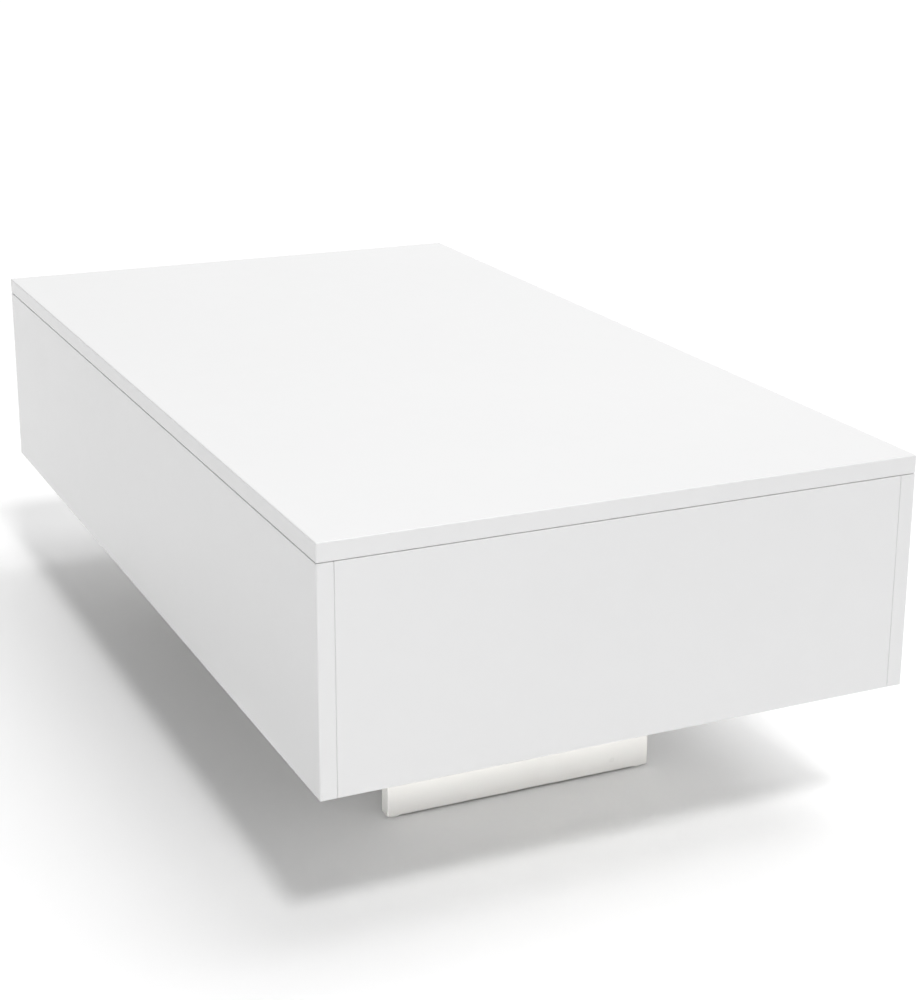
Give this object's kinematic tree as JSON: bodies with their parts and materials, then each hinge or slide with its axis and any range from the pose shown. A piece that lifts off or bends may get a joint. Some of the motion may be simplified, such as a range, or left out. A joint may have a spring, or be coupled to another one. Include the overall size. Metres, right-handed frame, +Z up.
{
  "type": "lift top coffee table",
  "caption": "Low rectangular box coffee table on set-in leg boards, with a top slab that lifts up and forward on paired arms over a storage compartment.",
  "frame": {"origin": "on the floor, under the middle of the table's bounding box, top closed", "axes": "+X along the table's length, +Y across its width away from the user, +Z up; the top lifts towards -Y"},
  "size_m": [1.1, 0.6, 0.385],
  "materials": {
    "white_gloss_lacquer": "high gloss white lacquer on board",
    "white_matt_board": "matt white foil on board",
    "offwhite_lacquer": "satin off-white lacquer on board",
    "beech": "raw fluted beech",
    "white_nylon": "moulded",
    "clear_bumper": "soft translucent",
    "black_rubber": "matt",
    "black_nylon": "moulded",
    "grey_acetal": "moulded",
    "zinc_alloy": "die cast",
    "black_enamel": "baked enamel",
    "chromed_rod": "polished",
    "zinc_plated_plate": "stamped, zinc plated",
    "bright_zinc": "bright zinc plated"
  },
  "bodies": {
    "cabinet": {"front_panel": "white_gloss_lacquer", "back_panel": "white_gloss_lacquer", "left_end_panel": "white_gloss_lacquer", "right_end_panel": "white_gloss_lacquer", "bottom_panel": "white_matt_board", "left_leg_board": "offwhite_lacquer", "right_leg_board": "offwhite_lacquer", "base_stretcher": "offwhite_lacquer", "foot_glides": "white_nylon", "leg_screws": "bright_zinc", "stretcher_screws": "bright_zinc", "stretcher_dowels": "beech", "screw_cover_caps": "white_nylon", "corner_cam_locks": "zinc_alloy", "corner_cam_bolts": "bright_zinc", "corner_dowels": "beech", "bottom_cam_locks": "zinc_alloy", "bottom_cam_bolts": "bright_zinc", "bottom_dowels": "beech", "top_bumpers": "clear_bumper", "left_base_bracket": "zinc_plated_plate", "left_base_bracket_screws": "bright_zinc", "left_lower_pivot_pins": "bright_zinc", "left_stop_stud": "bright_zinc", "left_stop_buffer": "black_rubber", "left_lower_ball_stud": "bright_zinc", "right_base_bracket": "zinc_plated_plate", "right_base_bracket_screws": "bright_zinc", "right_lower_pivot_pins": "bright_zinc", "right_stop_stud": "bright_zinc", "right_stop_buffer": "black_rubber", "right_lower_ball_stud": "bright_zinc"},
    "top": {"top_panel": "white_gloss_lacquer", "left_top_bracket": "zinc_plated_plate", "left_top_bracket_screws": "bright_zinc", "left_upper_pivot_pins": "bright_zinc", "right_top_bracket": "zinc_plated_plate", "right_top_bracket_screws": "bright_zinc", "right_upper_pivot_pins": "bright_zinc"},
    "left_front_arm_body": {"left_front_arm": "zinc_plated_plate", "left_front_arm_bushes": "grey_acetal", "left_upper_ball_stud": "bright_zinc"},
    "left_rear_arm_body": {"left_rear_arm": "zinc_plated_plate", "left_rear_arm_bushes": "grey_acetal"},
    "left_strut_cylinder_body": {"left_strut_cylinder": "black_enamel", "left_strut_lower_socket": "black_nylon"},
    "left_strut_rod_body": {"left_strut_rod": "chromed_rod", "left_strut_upper_socket": "black_nylon"},
    "right_front_arm_body": {"right_front_arm": "zinc_plated_plate", "right_front_arm_bushes": "grey_acetal", "right_upper_ball_stud": "bright_zinc"},
    "right_rear_arm_body": {"right_rear_arm": "zinc_plated_plate", "right_rear_arm_bushes": "grey_acetal"},
    "right_strut_cylinder_body": {"right_strut_cylinder": "black_enamel", "right_strut_lower_socket": "black_nylon"},
    "right_strut_rod_body": {"right_strut_rod": "chromed_rod", "right_strut_upper_socket": "black_nylon"}
  },
  "joints": [
    {"name": "left_front_arm_lift", "type": "hinge", "parent": "cabinet", "child": "left_front_arm_body", "pos_m": [-0.528, -0.16, 0.311], "axis": [1, 0, 0], "range_deg": [0, 110]},
    {"name": "right_front_arm_lift", "type": "hinge", "parent": "cabinet", "child": "right_front_arm_body", "pos_m": [0.528, -0.16, 0.311], "axis": [1, 0, 0], "range_deg": [0, 110]},
    {"name": "left_rear_arm_lift", "type": "hinge", "parent": "cabinet", "child": "left_rear_arm_body", "pos_m": [-0.528, -0.1013, 0.2855], "axis": [1, 0, 0], "range_deg": [0, 110]},
    {"name": "right_rear_arm_lift", "type": "hinge", "parent": "cabinet", "child": "right_rear_arm_body", "pos_m": [0.528, -0.1013, 0.2855], "axis": [1, 0, 0], "range_deg": [0, 110]},
    {"name": "top_level", "type": "hinge", "parent": "left_front_arm_body", "child": "top", "pos_m": [-0.528, 0.05786, 0.34162], "axis": [1, 0, 0], "range_deg": [-110, 0]},
    {"name": "left_strut_swing", "type": "hinge", "parent": "cabinet", "child": "left_strut_cylinder_body", "pos_m": [-0.528, -0.11887, 0.19614], "axis": [1, 0, 0], "range_deg": [0, 55]},
    {"name": "left_rod_swing", "type": "hinge", "parent": "left_front_arm_body", "child": "left_strut_rod_body", "pos_m": [-0.528, -0.03919, 0.32798], "axis": [1, 0, 0], "range_deg": [-55, 0]},
    {"name": "right_strut_swing", "type": "hinge", "parent": "cabinet", "child": "right_strut_cylinder_body", "pos_m": [0.528, -0.11887, 0.19614], "axis": [1, 0, 0], "range_deg": [0, 55]},
    {"name": "right_rod_swing", "type": "hinge", "parent": "right_front_arm_body", "child": "right_strut_rod_body", "pos_m": [0.528, -0.03919, 0.32798], "axis": [1, 0, 0], "range_deg": [-55, 0]}
  ],
  "couplings": [
    {"joint": "right_front_arm_lift", "follows": "left_front_arm_lift", "ratio": 1},
    {"joint": "left_rear_arm_lift", "follows": "left_front_arm_lift", "ratio": 1},
    {"joint": "right_rear_arm_lift", "follows": "left_front_arm_lift", "ratio": 1},
    {"joint": "top_level", "follows": "left_front_arm_lift", "ratio": -1},
    {"joint": "left_strut_swing", "follows": "left_front_arm_lift", "ratio": 0.5},
    {"joint": "left_rod_swing", "follows": "left_front_arm_lift", "ratio": -0.5},
    {"joint": "right_strut_swing", "follows": "left_front_arm_lift", "ratio": 0.5},
    {"joint": "right_rod_swing", "follows": "left_front_arm_lift", "ratio": -0.5}
  ]
}
